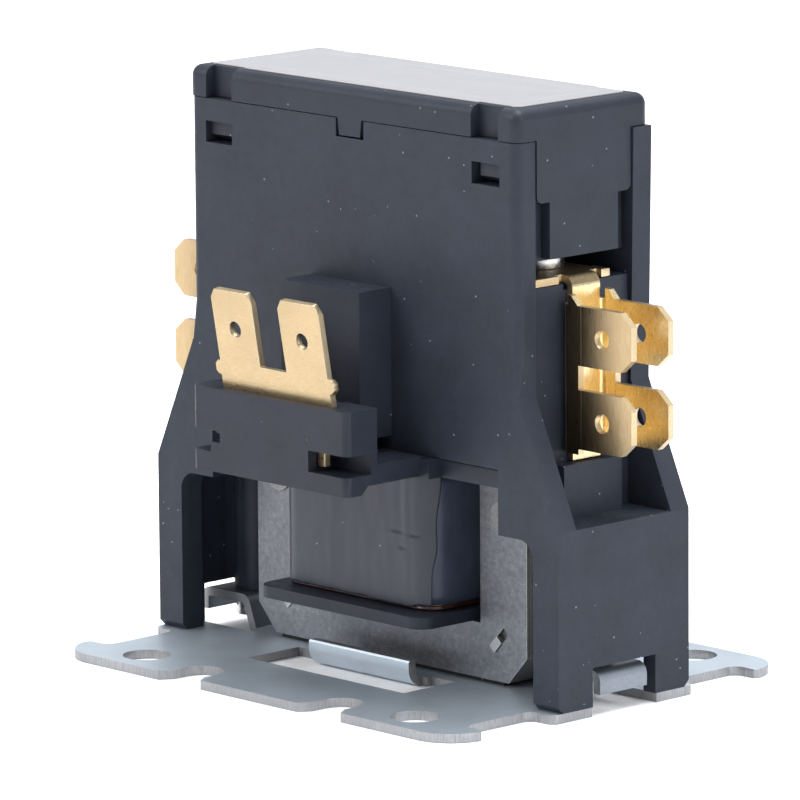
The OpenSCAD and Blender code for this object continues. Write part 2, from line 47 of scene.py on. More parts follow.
# ------------------------------------------------------------------ materials
class Mat:
    """A small builder for procedural materials; coordinates are the object's own, in millimetres."""

    def __init__(self, name):
        self.m = bpy.data.materials.new(name)
        self.m.use_nodes = True
        self.t = self.m.node_tree
        self.n = self.t.nodes
        self.l = self.t.links
        self.n.clear()
        self.out = self.n.new("ShaderNodeOutputMaterial")
        self.b = self.n.new("ShaderNodeBsdfPrincipled")
        self.l.new(self.b.outputs[0], self.out.inputs[0])
        tc = self.n.new("ShaderNodeTexCoord")
        mp = self.n.new("ShaderNodeMapping")
        mp.inputs["Scale"].default_value = (1000, 1000, 1000)
        self.l.new(tc.outputs["Object"], mp.inputs["Vector"])
        self.co = mp.outputs["Vector"]

    def set(self, **kw):
        names = {"rough": "Roughness", "metal": "Metallic", "spec": "Specular IOR Level", "coat": "Coat Weight", "coat_rough": "Coat Roughness", "ior": "IOR", "aniso": "Anisotropic", "sheen": "Sheen Weight"}
        for k, v in kw.items():
            if k == "base":
                self.b.inputs["Base Color"].default_value = (*v, 1)
            else:
                self.b.inputs[names[k]].default_value = v
        return self

    def stretch(self, sx, sy, sz, rot=(0, 0, 0)):
        mp = self.n.new("ShaderNodeMapping")
        mp.inputs["Scale"].default_value = (sx, sy, sz)
        mp.inputs["Rotation"].default_value = rot
        self.l.new(self.co, mp.inputs["Vector"])
        return mp.outputs["Vector"]

    def noise(self, scale, detail=3.0, rough=0.55, co=None, dist=0.0):
        t = self.n.new("ShaderNodeTexNoise")
        t.inputs["Scale"].default_value = scale
        t.inputs["Detail"].default_value = detail
        t.inputs["Roughness"].default_value = rough
        t.inputs["Distortion"].default_value = dist
        self.l.new(co or self.co, t.inputs["Vector"])
        return t.outputs["Fac"]

    def voronoi(self, scale, co=None, feature="F1", rand=1.0):
        t = self.n.new("ShaderNodeTexVoronoi")
        t.feature = feature
        t.inputs["Scale"].default_value = scale
        t.inputs["Randomness"].default_value = rand
        self.l.new(co or self.co, t.inputs["Vector"])
        return t

    def ramp(self, fac, stops, interp="LINEAR"):
        r = self.n.new("ShaderNodeValToRGB")
        r.color_ramp.interpolation = interp
        el = r.color_ramp.elements
        while len(el) < len(stops):
            el.new(0.5)
        for e, (p, c) in zip(el, stops):
            e.position = p
            e.color = (*c, 1) if isinstance(c, tuple) else (c, c, c, 1)
        self.l.new(fac, r.inputs[0])
        return r.outputs[0]

    def mix(self, fac, a, b, mode="MIX"):
        m = self.n.new("ShaderNodeMix")
        m.data_type = "RGBA"
        m.blend_type = mode
        for sock, v in ((m.inputs["Factor"], fac), (m.inputs[6], a), (m.inputs[7], b)):
            if hasattr(v, "links"):
                self.l.new(v, sock)
            elif isinstance(v, tuple):
                sock.default_value = (*v, 1)
            else:
                sock.default_value = v
        return m.outputs[2]

    def math(self, op, a, b=0.0, clamp=False):
        m = self.n.new("ShaderNodeMath")
        m.operation = op
        m.use_clamp = clamp
        for sock, v in ((m.inputs[0], a), (m.inputs[1], b)):
            if hasattr(v, "links"):
                self.l.new(v, sock)
            else:
                sock.default_value = v
        return m.outputs[0]

    def sep(self, co=None):
        s = self.n.new("ShaderNodeSeparateXYZ")
        self.l.new(co or self.co, s.inputs[0])
        return s.outputs

    def base(self, sock):
        self.l.new(sock, self.b.inputs["Base Color"])
        return self

    def rough(self, fac, lo, hi):
        self.l.new(self.ramp(fac, [(0.25, lo), (0.75, hi)]), self.b.inputs["Roughness"])
        return self

    def bump(self, *layers):
        """layers: (height, strength, distance in mm)"""
        last = None
        for h, s, d in layers:
            bn = self.n.new("ShaderNodeBump")
            bn.inputs["Strength"].default_value = s
            bn.inputs["Distance"].default_value = d * MM
            self.l.new(h, bn.inputs["Height"])
            if last:
                self.l.new(last, bn.inputs["Normal"])
            last = bn.outputs[0]
        self.l.new(last, self.b.inputs["Normal"])
        return self


def scl(c, k):
    return tuple(min(1.0, x * k) for x in c)


def plastic(name, base, lo=0.42, hi=0.60, specks=0.06, grain=0.35, spec=0.22):
    m = Mat(name)
    big = m.noise(0.16, 4, 0.6)
    fine = m.noise(2.2, 3, 0.6)
    c = m.ramp(big, [(0.3, scl(base, 0.86)), (0.7, scl(base, 1.16))])
    c = m.mix(m.math("MULTIPLY", m.ramp(fine, [(0.52, 0.0), (0.80, 1.0)]), 0.35), c, scl(base, 1.55))
    # dust: rare tiny pale specks
    v = m.voronoi(0.55)
    near = m.math("LESS_THAN", v.outputs["Distance"], specks)
    rare = m.math("GREATER_THAN", m.noise(0.33, 2, 0.5), 0.47)
    dust = m.math("MULTIPLY", m.math("MULTIPLY", near, rare), 0.55)
    c = m.mix(dust, c, (0.26, 0.28, 0.31))
    m.base(c)
    m.rough(m.noise(0.9, 4, 0.65), lo, hi)
    m.bump((m.noise(5.5, 2, 0.5), grain, 0.02), (m.noise(0.5, 3, 0.5), 0.12, 0.06))
    m.set(spec=spec)
    return m.m


def metal(name, a, b, lo, hi, scale=(1, 1, 1), noise_scale=3.0, bump=0.25, dist=0.012, metalness=1.0, rot=(0, 0, 0), sparkle=0.0):
    m = Mat(name)
    st = m.stretch(*scale, rot=rot)
    f = m.noise(noise_scale, 5, 0.65, st)
    big = m.noise(0.22, 3, 0.5)
    c = m.mix(m.ramp(f, [(0.30, 0.0), (0.72, 1.0)]), a, b)
    c = m.mix(m.math("MULTIPLY", m.ramp(big, [(0.35, 0.0), (0.7, 1.0)]), 0.35), c, scl(a, 0.80))
    if sparkle:
        v = m.voronoi(7.0)
        s = m.math("MULTIPLY", m.math("LESS_THAN", v.outputs["Distance"], 0.16), sparkle)
        c = m.mix(s, c, (0.92, 0.93, 0.94))
    m.base(c)
    m.rough(m.noise(noise_scale * 0.7, 4, 0.6, st), lo, hi)
    m.bump((f, bump, dist), (m.noise(0.35, 2, 0.5), 0.15, 0.08))
    m.set(metal=metalness)
    return m.m


HOUSE = (0.0195, 0.0235, 0.0345)
COVER = (0.0170, 0.0205, 0.0305)
mat_house = plastic("housing_plastic", HOUSE)
# lighter copy for the housing's bevelled edges: partly worn edges, partly painted highlight
mat_house_edge_wear_highlight = plastic("housing_plastic_edge_wear_highlight", scl(HOUSE, 1.35), 0.36, 0.50, specks=0.03)
mat_cover = plastic("cover_plastic", COVER, 0.36, 0.52)
# lighter copy for the cover's bevelled edges: partly worn edges, partly painted highlight
mat_cover_edge_wear_highlight = plastic("cover_plastic_edge_wear_highlight", scl(COVER, 1.35), 0.34, 0.47, specks=0.03)
mat_bobbin = plastic("bobbin_plastic", (0.0150, 0.0180, 0.0270), 0.36, 0.52, specks=0.03, grain=0.22)
mat_carrier = plastic("carrier_plastic", (0.022, 0.023, 0.027), 0.45, 0.6, grain=0.3)
mat_pad = plastic("pad_rubber", (0.010, 0.010, 0.011), 0.7, 0.85, grain=0.6)

# plate: zinc plated sheet, its sheared edges, and a darker zinc copy on the raised tongues as painted shade
mat_zinc = metal("zinc_plated_steel", (0.52, 0.595, 0.665), (0.60, 0.675, 0.745), 0.36, 0.52, (1, 1, 1), 6.0, 0.20, 0.006, 0.90, sparkle=0.6)
mat_zinc_shaded = metal("zinc_plated_shaded_copy", (0.205, 0.230, 0.265), (0.265, 0.290, 0.325), 0.38, 0.55, (1, 1, 1), 5.0, 0.2, 0.006, 0.88, sparkle=0.25)
mat_shear = metal("sheared_steel_edge", (0.25, 0.26, 0.275), (0.42, 0.42, 0.43), 0.42, 0.62, (3.2, 3.2, 0.35), 2.4, 0.55, 0.03, 0.85)
# the laminations: flat sheet faces, and the stack seen edge on
m = Mat("lamination_face")
mot = m.noise(1.6, 6, 0.72)
blot = m.noise(0.25, 4, 0.6, dist=0.6)
c = m.ramp(mot, [(0.30, (0.115, 0.120, 0.135)), (0.55, (0.205, 0.211, 0.227)), (0.80, (0.34, 0.345, 0.355))])
c = m.mix(m.math("MULTIPLY", m.ramp(blot, [(0.35, 0.0), (0.7, 1.0)]), 0.45), c, (0.100, 0.105, 0.118))
scr = m.noise(2.0, 3, 0.6, m.stretch(0.25, 1, 3.2, rot=(0, 0.7, 0)))
c = m.mix(m.math("MULTIPLY", m.ramp(scr, [(0.66, 0.0), (0.74, 1.0)]), 0.35), c, (0.46, 0.46, 0.45))
m.base(c)
m.rough(mot, 0.42, 0.62)
m.bump((mot, 0.3, 0.012), (m.noise(0.3, 3, 0.5), 0.2, 0.10))
m.set(metal=0.80)
mat_lam = m.m
m = Mat("lamination_stack")
s = m.sep()
saw = m.math("FRACT", m.math("MULTIPLY", m.math("ADD", s[1], 20.0), 2.0))
gap = m.math("LESS_THAN", saw, 0.16)
n1 = m.noise(2.4, 4, 0.7, m.stretch(0.4, 3.0, 1.5))
c = m.ramp(n1, [(0.3, (0.19, 0.19, 0.19)), (0.75, (0.42, 0.41, 0.40))])
c = m.mix(m.math("MULTIPLY", gap, 0.8), c, (0.035, 0.033, 0.032))
m.base(c)
m.rough(n1, 0.36, 0.6)
m.bump((m.math("SUBTRACT", 1.0, gap), 0.6, 0.06), (n1, 0.3, 0.01))
m.set(metal=0.85)
mat_stack = m.m

mat_insert = metal("interlock_steel", (0.26, 0.26, 0.27), (0.40, 0.40, 0.40), 0.35, 0.5, (1, 1, 1), 5.0, 0.4, 0.02, 0.9)
mat_burr = metal("bright_burr", (0.66, 0.66, 0.65), (0.86, 0.85, 0.83), 0.30, 0.5, (1, 1, 1), 5.0, 0.5, 0.02, 0.95)
mat_rivet = metal("rivet_steel", (0.50, 0.50, 0.51), (0.66, 0.66, 0.66), 0.28, 0.45, (1, 1, 1), 3.0, 0.25, 0.01)
mat_core_rivet = metal("core_rivet_steel", (0.17, 0.17, 0.175), (0.27, 0.27, 0.27), 0.40, 0.58, (1, 1, 1), 3.0, 0.3, 0.012, 0.85)
mat_screw = metal("screw_steel", (0.56, 0.57, 0.60), (0.70, 0.71, 0.73), 0.22, 0.38, (1, 1, 1), 4.0, 0.2, 0.008)
mat_spring = metal("spring_steel", (0.58, 0.59, 0.61), (0.74, 0.74, 0.75), 0.20, 0.34, (1, 1, 1), 5.0, 0.12, 0.004)
mat_copper = metal("copper", (0.62, 0.27, 0.14), (0.78, 0.38, 0.22), 0.26, 0.42, (1, 1, 1), 2.5, 0.2, 0.008)
mat_silver = metal("contact_silver", (0.72, 0.71, 0.69), (0.86, 0.85, 0.83), 0.22, 0.38, (1, 1, 1), 3.0, 0.2, 0.008)

# brass of the coil tabs: pale, with fine marks from the press
mat_tab = metal("coil_tab_brass", (0.40, 0.295, 0.165), (0.46, 0.355, 0.215), 0.24, 0.38, (0.5, 1, 2.2), 3.2, 0.28, 0.010, rot=(0, 0.5, 0))
mat_tab_edge = metal("coil_tab_cut_edge", (0.40, 0.32, 0.20), (0.62, 0.52, 0.35), 0.34, 0.5, (2.5, 2.5, 2.5), 3.0, 0.5, 0.02)
# brass of the main terminals: fine upright brushing, painted shade darkening towards the web, and a painted highlight
# along the crease line
m = Mat("terminal_brass")
s = m.sep()
ax = m.math("ABSOLUTE", s[0])
cmb = m.n.new("ShaderNodeCombineXYZ")
m.l.new(m.math("ADD", m.math("MULTIPLY", ax, 6.5), m.math("MULTIPLY", s[2], 0.55)), cmb.inputs[0])
m.l.new(m.math("MULTIPLY", s[1], 0.6), cmb.inputs[1])
m.l.new(m.math("MULTIPLY", s[2], 0.5), cmb.inputs[2])
brush = m.noise(1.0, 4, 0.75, cmb.outputs[0])
big = m.noise(0.30, 3, 0.55)
c = m.ramp(brush, [(0.30, (0.40, 0.288, 0.158)), (0.72, (0.54, 0.412, 0.250))])
c = m.mix(m.math("MULTIPLY", m.ramp(big, [(0.35, 0.0), (0.7, 1.0)]), 0.35), c, (0.40, 0.27, 0.13))
# painted shade: the brass darkens towards the web
shade = m.ramp(m.math("DIVIDE", m.math("SUBTRACT", ax, 25.0), 11.0), [(0.0, 0.30), (0.30, 0.36), (0.42, 0.60), (0.85, 1.0)])
c = m.mix(1.0, c, shade, "MULTIPLY")
# painted highlight: a bright line along the crease
crease_highlight = m.math("LESS_THAN", m.math("ABSOLUTE", m.math("SUBTRACT", m.math("ADD", ax, m.math("MULTIPLY", m.noise(1.2, 3, 0.6), 0.16)), 28.28)), 0.045)
c = m.mix(m.math("MULTIPLY", crease_highlight, 0.7), c, (0.80, 0.68, 0.46))
m.base(c)
m.rough(brush, 0.24, 0.40)
m.bump((brush, 0.25, 0.008), (m.noise(0.4, 2, 0.5), 0.10, 0.06))
m.set(metal=1.0)
mat_term = m.m
# brighter and darker copies of the terminal brass, chosen by which way a face points: painted highlight and painted
# shade
mat_term_lit = metal("terminal_brass_lit_copy", (0.80, 0.63, 0.34), (0.90, 0.75, 0.46), 0.22, 0.36, (2.5, 2.5, 0.6), 2.0, 0.2, 0.008)
mat_term_shaded = metal("terminal_brass_shaded_copy", (0.17, 0.135, 0.08), (0.34, 0.27, 0.16), 0.42, 0.62, (1, 1, 1), 5.0, 0.6, 0.02)
mat_term_edge = metal("terminal_cut_edge", (0.46, 0.35, 0.20), (0.70, 0.58, 0.40), 0.30, 0.46, (2.5, 2.5, 2.5), 3.0, 0.5, 0.02)

# enamelled wire, laid in level turns
m = Mat("enamelled_copper")
n1 = m.noise(1.2, 4, 0.6, m.stretch(0.5, 0.5, 2.5))
m.base(m.ramp(n1, [(0.3, (0.030, 0.010, 0.007)), (0.75, (0.078, 0.027, 0.015))]))
m.rough(n1, 0.22, 0.4)
m.bump((n1, 0.2, 0.01))
m.set(metal=0.55, coat=0.6, coat_rough=0.18)
mat_wire = m.m

# coil tape: grey glossy film with soft streaks
m = Mat("coil_tape_film")
st = m.noise(0.30, 3, 0.45, m.stretch(1.2, 1.2, 0.35))
spots = m.noise(2.6, 3, 0.6)
c = m.ramp(st, [(0.30, (0.026, 0.030, 0.042)), (0.72, (0.034, 0.039, 0.052))])
c = m.mix(m.math("MULTIPLY", m.ramp(spots, [(0.66, 0.0), (0.84, 1.0)]), 0.25), c, (0.11, 0.115, 0.13))
v = m.voronoi(0.45)
c = m.mix(m.math("MULTIPLY", m.math("LESS_THAN", v.outputs["Distance"], 0.035), 0.6), c, (0.5, 0.5, 0.52))
m.base(c)
m.rough(st, 0.28, 0.42)
m.bump((m.noise(0.6, 2, 0.5, m.stretch(1.3, 1.3, 0.4)), 0.15, 0.05), (spots, 0.08, 0.01))
m.set(spec=0.26, coat=0.06, coat_rough=0.3)
mat_tape = m.m
m = Mat("dark_film")
st = m.noise(0.6, 3, 0.55, m.stretch(1.2, 1.2, 0.5))
m.base(m.ramp(st, [(0.3, (0.030, 0.038, 0.060)), (0.75, (0.042, 0.052, 0.080))]))
m.rough(st, 0.30, 0.48)
m.bump((st, 0.2, 0.04))
m.set(spec=0.3)
mat_dark = m.m

# label: white film with a printed hairline frame
m = Mat("label_film")
s = m.sep()
ax = m.math("ABSOLUTE", s[0])
ay = m.math("ABSOLUTE", s[1])
inx = m.math("LESS_THAN", ax, 21.3)
iny = m.math("LESS_THAN", ay, 5.9)
lx = m.math("LESS_THAN", m.math("ABSOLUTE", m.math("SUBTRACT", ax, 21.2)), 0.10)
ly = m.math("LESS_THAN", m.math("ABSOLUTE", m.math("SUBTRACT", ay, 5.8)), 0.10)
line = m.math("MAXIMUM", m.math("MULTIPLY", lx, iny), m.math("MULTIPLY", ly, inx))
n1 = m.noise(0.4, 4, 0.6)
c = m.ramp(n1, [(0.3, (0.250, 0.249, 0.262)), (0.7, (0.272, 0.270, 0.284))])
c = m.mix(m.math("MULTIPLY", line, 0.45), c, (0.36, 0.37, 0.41))
m.base(c)
m.rough(n1, 0.34, 0.5)
m.bump((m.noise(0.7, 3, 0.5), 0.15, 0.02))
m.set(spec=0.25)
mat_label = m.m


# ------------------------------------------------------------------ geometry
def link(name, me, mats):
    o = bpy.data.objects.new(name, me)
    scene.collection.objects.link(o)
    for k in mats:
        me.materials.append(k)
    return o


def polished(node, name, mats, width=0.12, segs=2, pick=None, edge_slot=None, angle=34, body="frame", tri=(14, 3e-4)):
    """The CAD solid with its edges broken, as its own piece. pick(centre mm, normal) -> material slot of a face."""
    me = nodes[node].data.copy()
    me.name = name
    me.materials.clear()
    bm = bmesh.new()
    bm.from_mesh(me)
    bmesh.ops.remove_doubles(bm, verts=bm.verts, dist=3e-6)
    bmesh.ops.dissolve_degenerate(bm, edges=bm.edges, dist=1e-6)
    bmesh.ops.dissolve_limit(bm, angle_limit=math.radians(0.6), use_dissolve_boundaries=False, verts=bm.verts, edges=bm.edges)
    bmesh.ops.triangulate(bm, faces=[f for f in bm.faces if len(f.verts) > tri[0] and f.calc_area() > tri[1]], quad_method="BEAUTY", ngon_method="BEAUTY")
    for f in bm.faces:
        f.smooth = True
        f.material_index = pick(f.calc_center_median() / MM, f.normal) if pick else 0
    bm.to_mesh(me)
    bm.free()
    me.set_sharp_from_angle(angle=math.radians(angle))
    o = link(name, me, mats)
    bv = o.modifiers.new("edges", "BEVEL")
    bv.width = width * MM
    bv.segments = segs
    bv.limit_method = "ANGLE"
    bv.angle_limit = math.radians(angle)
    bv.use_clamp_overlap = True
    bv.miter_outer = "MITER_ARC" if segs > 1 else "MITER_SHARP"
    bv.harden_normals = False
    bv.face_strength_mode = "FSTR_ALL"
    if edge_slot is not None:
        bv.material = edge_slot
    wn = o.modifiers.new("normals", "WEIGHTED_NORMAL")
    wn.weight = 50
    wn.keep_sharp = False
    wn.use_face_influence = True
    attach(o, body)
    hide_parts(node)
    return o


def tube(points, r, sides=14):
    """Closed round tube along a list of points, in mm."""
    pts = [Vector(p) for p in points]
    bm = bmesh.new()
    rings = []
    up = None
    for i, p in enumerate(pts):
        t = (pts[min(i + 1, len(pts) - 1)] - pts[max(i - 1, 0)]).normalized()
        if up is None:
            up = t.orthogonal().normalized()
        up = (up - t * up.dot(t)).normalized()
        side = t.cross(up)
        rings.append([bm.verts.new((p + (up * math.cos(a) + side * math.sin(a)) * r) * MM) for a in [2 * math.pi * k / sides for k in range(sides)]])
    for a, b in zip(rings, rings[1:]):
        for k in range(sides):
            bm.faces.new((a[k], a[(k + 1) % sides], b[(k + 1) % sides], b[k]))
    bm.faces.new(rings[0][::-1])
    bm.faces.new(rings[-1])
    for f in bm.faces:
        f.smooth = len(f.verts) == 4
    bmesh.ops.recalc_face_normals(bm, faces=bm.faces)
    return bm


def finish_bm(bm, name, mats, body, node=None):
    me = bpy.data.meshes.new(name)
    bm.to_mesh(me)
    bm.free()
    o = link(name, me, mats)
    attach(o, body)
    if node:
        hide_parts(node)
    return o


def rounded_path(pts, r, n=8):
    """Points along a polyline whose corners are turned with radius r (mm)."""
    pts = [Vector(p) for p in pts]
    out = [pts[0]]
    for a, b, c in zip(pts, pts[1:], pts[2:]):
        u, v = (a - b).normalized(), (c - b).normalized()
        d = min(r, (a - b).length * 0.49, (c - b).length * 0.49)
        p0, p1 = b + u * d, b + v * d
        for k in range(n + 1):
            t = k / n
            out.append(p0 * (1 - t) ** 2 + b * 2 * t * (1 - t) + p1 * t ** 2)
    out.append(pts[-1])
    return out


def rr(s, hx, hy, r):
    """Point and outward normal at arc length s round a rounded rectangle, from the middle of its front going to +X."""
    segs = [("l", hx - r, (0, -hy), (1, 0), (0, -1)), ("a", math.pi * r / 2, (hx - r, -hy + r), -90),
            ("l", 2 * (hy - r), (hx, -hy + r), (0, 1), (1, 0)), ("a", math.pi * r / 2, (hx - r, hy - r), 0),
            ("l", 2 * (hx - r), (hx - r, hy), (-1, 0), (0, 1)), ("a", math.pi * r / 2, (-hx + r, hy - r), 90),
            ("l", 2 * (hy - r), (-hx, hy - r), (0, -1), (-1, 0)), ("a", math.pi * r / 2, (-hx + r, -hy + r), 180),
            ("l", hx - r, (-hx + r, -hy), (1, 0), (0, -1))]
    total = sum(q[1] for q in segs)
    s = s % total
    for q in segs:
        if s <= q[1] + 1e-9:
            if q[0] == "l":
                return Vector((q[2][0] + q[3][0] * s, q[2][1] + q[3][1] * s, 0)), Vector((*q[4], 0))
            a = math.radians(q[3]) + s / r
            n = Vector((math.cos(a), math.sin(a), 0))
            return Vector((q[2][0], q[2][1], 0)) + n * r, n
        s -= q[1]
    return Vector((0, -hy, 0)), Vector((0, -1, 0))


def rr_len(hx, hy, r):
    return 4 * (hx + hy - 2 * r) + 2 * math.pi * r


def n3(x, y, z):
    return noise.noise(Vector((x, y, z)))


# ---- moulded parts
polished("housing", "housing_shell", [mat_house, mat_house_edge_wear_highlight], 0.28, 3, edge_slot=1)
polished("cover", "cover_cap", [mat_cover, mat_cover_edge_wear_highlight], 0.20, 3, edge_slot=1)
polished("bobbin", "coil_bobbin", [mat_bobbin], 0.18, 2, tri=(8, 0))
polished("contact_carrier", "contact_slide", [mat_carrier], 0.15, 2, body="carrier", tri=(8, 0))
polished("core_pad", "core_shock_pad", [mat_pad], 0.08, 2)


# ---- label, a film with soft corners that follows the cover
polished("label", "cover_label", [mat_label], 0.035, 2)


# ---- mounting plate
def plate_pick(c, n):
    x, y, z = abs(c.x), abs(c.y), c.z
    if z < 1.03:
        if x < 8.4 and 7.8 < y < 9.1:
            return 1 if abs(n.x) > 0.7 else 0
        if x > 21.9 and y < 3.6:
            return 1 if abs(n.y) > 0.7 else 0
        return 1 if abs(n.z) < 0.5 else 0
    if x < 8.5:
        return 1 if abs(n.x) > 0.7 or n.z > 0.7 else 0
    if abs(n.y) > 0.7 or (n.z < -0.7 and z < 2.3):
        return 1
    # slot 2: the darker zinc copy on the raised tongues, painted shade
    return 2


polished("base_plate", "mounting_plate", [mat_zinc, mat_shear, mat_zinc_shaded], 0.13, 2, pick=plate_pick)
polished("base_screws", "plate_screws", [mat_screw], 0.10, 2)


# ---- magnet
def core_pick(c, n):
    if 15.4 < abs(c.x) < 17.6 and 4.2 < c.z < 6.7 and abs(c.y) > 4.32:
        return 3
    return 0 if abs(n.y) > 0.8 else 1


polished("fixed_core", "magnet_core", [mat_lam, mat_stack, mat_burr, mat_insert], 0.07, 1, pick=core_pick, edge_slot=2)
polished("armature", "magnet_armature", [mat_lam, mat_stack, mat_burr], 0.07, 1, pick=core_pick, edge_slot=2, body="carrier")
polished("core_rivets", "magnet_rivets", [mat_core_rivet], 0.08, 2)
polished("armature_rivets", "armature_rivet_set", [mat_rivet], 0.16, 3, body="carrier")
polished("armature_pin", "carrier_pin", [mat_rivet], 0.25, 3, body="carrier")
polished("shading_rings", "shading_ring_pair", [mat_copper], 0.12, 2)


# ---- terminals and contacts
def tab_pick(c, n):
    if c.z < 32.4:
        return 0 if abs(n.y) > 0.7 else 1
    return 0 if abs(n.y) > 0.9 and abs(n.x) < 0.2 else 1


polished("coil_terminal_front", "coil_tabs_front", [mat_tab, mat_tab_edge], 0.09, 2, pick=tab_pick, edge_slot=1)
polished("coil_terminal_rear", "coil_tabs_rear", [mat_tab, mat_tab_edge], 0.09, 2, pick=tab_pick, edge_slot=1)


# slot 2 is the brass copy with painted highlight, slot 3 the brass copy with painted shade
def term_pick(c, n):
    x, y = abs(c.x), abs(c.y)
    if c.z > 43.9 and x < 26.2:
        if c.z > 45.0 or (n.z > 0.25 and y < 2.3):
            return 3 if n.z > 0.25 else 1
    if abs(n.y) > 0.8:
        return 2 if n.y * c.y < 0 and x > 25.9 else (0 if x > 25.9 else 1)
    if abs(n.z) > 0.8:
        return 1
    if x > 27.5:
        return 1
    return 2 if n.x * c.x > 0 else 0


for node, name in (("line_terminal", "main_tabs_line"), ("load_terminal", "main_tabs_load")):
    polished(node, name, [mat_term, mat_term_edge, mat_term_lit, mat_term_shaded], 0.09, 2, pick=term_pick, edge_slot=1)
polished("line_contact", "contact_button_line", [mat_silver], 0.15, 3)
polished("load_contact", "contact_button_load", [mat_silver], 0.15, 3)
polished("contact_bridge", "moving_bridge", [mat_copper], 0.12, 2, body="bridge")
polished("bridge_contacts", "moving_buttons", [mat_silver], 0.15, 3, body="bridge")


# ---- winding: level turns of enamelled wire between the flanges
def winding():
    bm = bmesh.new()
    pitch, z0, z1 = 0.42, 8.86, 23.84
    turns = int((z1 - z0) / pitch)
    ns = 120
    rings = []
    for k in range(turns):
        for j, off in enumerate((0.0, 0.09, 0.12, 0.09)):
            z = z0 + pitch * (k + j / 4)
            ring = []
            for i in range(ns):
                s = rr_len(11.8, 9.2, 2.6) * i / ns
                p, n = rr(s, 11.78, 9.18, 2.6)
                q = p + n * (off + 0.03 * n3(p.x * 0.6, p.y * 0.6, k * 0.7))
                ring.append(bm.verts.new(Vector((q.x, q.y, z)) * MM))
            rings.append(ring)
    top = [bm.verts.new(Vector((*rr(rr_len(11.8, 9.2, 2.6) * i / ns, 11.78, 9.18, 2.6)[0][:2], z1)) * MM) for i in range(ns)]
    rings.append(top)
    inner = []
    for z in (z1, z0):
        inner.append([bm.verts.new(Vector((*rr(rr_len(8.3, 5.5, 0.3) * i / ns, 8.28, 5.48, 0.3)[0][:2], z)) * MM) for i in range(ns)])
    loops = rings + inner + [rings[0]]
    for a, b in zip(loops, loops[1:]):
        for i in range(ns):
            bm.faces.new((a[i], a[(i + 1) % ns], b[(i + 1) % ns], b[i]))
    for f in bm.faces:
        f.smooth = True
    bmesh.ops.recalc_face_normals(bm, faces=bm.faces)
    return finish_bm(bm, "copper_winding", [mat_wire], "frame", "coil_winding")


winding()


# ---- tape: a dark sleeve all round, and a grey outer sheet on each broad side with wavy ends
def film(name, mat, s0, s1, z0, z1, hx, hy, r, thick, disp, ns, nz, closed=False, flip=1):
    """A sheet laid round the coil. s0, s1 are functions of z, z0, z1 of s; disp(s, z) lifts it, in mm."""
    bm = bmesh.new()
    grids = []
    for layer in (0, 1):
        grid = []
        for i in range(ns + (0 if closed else 1)):
            col = []
            for k in range(nz + 1):
                w = k / nz
                sm = s0(12 + w * 10) + (s1(12 + w * 10) - s0(12 + w * 10)) * i / ns
                z = z0(sm) + (z1(sm) - z0(sm)) * w
                s = s0(z) + (s1(z) - s0(z)) * i / ns
                p, n = rr(s, hx, hy, r)
                q = p + n * (disp(s, z) + (thick if layer else 0.0))
                col.append(bm.verts.new(Vector((q.x * flip, q.y * flip, z)) * MM))
            grid.append(col)
        grids.append(grid)
    cnt = len(grids[0])
    for layer, g in enumerate(grids):
        for i in range(cnt if closed else cnt - 1):
            j = (i + 1) % cnt
            for k in range(nz):
                bm.faces.new((g[i][k], g[j][k], g[j][k + 1], g[i][k + 1]))
    a, b = grids
    for i in range(cnt if closed else cnt - 1):
        j = (i + 1) % cnt
        for k in (0, nz):
            bm.faces.new((a[i][k], a[j][k], b[j][k], b[i][k]))
    if not closed:
        for i in (0, cnt - 1):
            for k in range(nz):
                bm.faces.new((a[i][k], a[i][k + 1], b[i][k + 1], b[i][k]))
    for f in bm.faces:
        f.smooth = True
    bmesh.ops.recalc_face_normals(bm, faces=bm.faces)
    return bm


P = rr_len(12.0, 9.4, 2.9)


def sleeve():
    hx, hy, r = 11.93, 9.33, 2.8
    L = rr_len(hx, hy, r)
    bm = film("sleeve", mat_dark, lambda z: 0.0, lambda z: L, lambda s: 9.55 + 0.12 * n3(s * 0.25, 3.1, 0.2), lambda s: 23.45 + 0.1 * n3(s * 0.3, 1.0, 5.0),
              hx, hy, r, 0.05, lambda s, z: 0.03 * (1 + n3(s * 0.35, z * 0.2, 2.0)) * 0.6, 180, 14, closed=True)
    return finish_bm(bm, "coil_sleeve", [mat_dark], "frame", "coil_tape")


def sheet_disp(s, z):
    d = 0.05 * (1 + n3(s * 0.28, z * 0.12, 7.0)) + 0.025 * (1 + n3(s * 0.9, z * 0.35, 1.0))
    d += 0.06 * math.exp(-((s - 8.0 - 0.25 * n3(z * 0.3, 0, 0)) / 0.55) ** 2)
    d += 0.04 * math.exp(-((s + 3.6 + 0.4 * n3(z * 0.25, 4, 0)) / 0.7) ** 2)
    for cs, cz, w in ((6.6, 17.2, 1.0), (9.2, 17.05, 0.8), (7.4, 15.5, 0.7)):
        d -= 0.10 * math.exp(-((s - cs) / w) ** 2 - ((z - cz) / 0.16) ** 2)
        d += 0.05 * math.exp(-((s - cs) / w) ** 2 - ((z - cz + 0.35) / 0.2) ** 2)
    return d


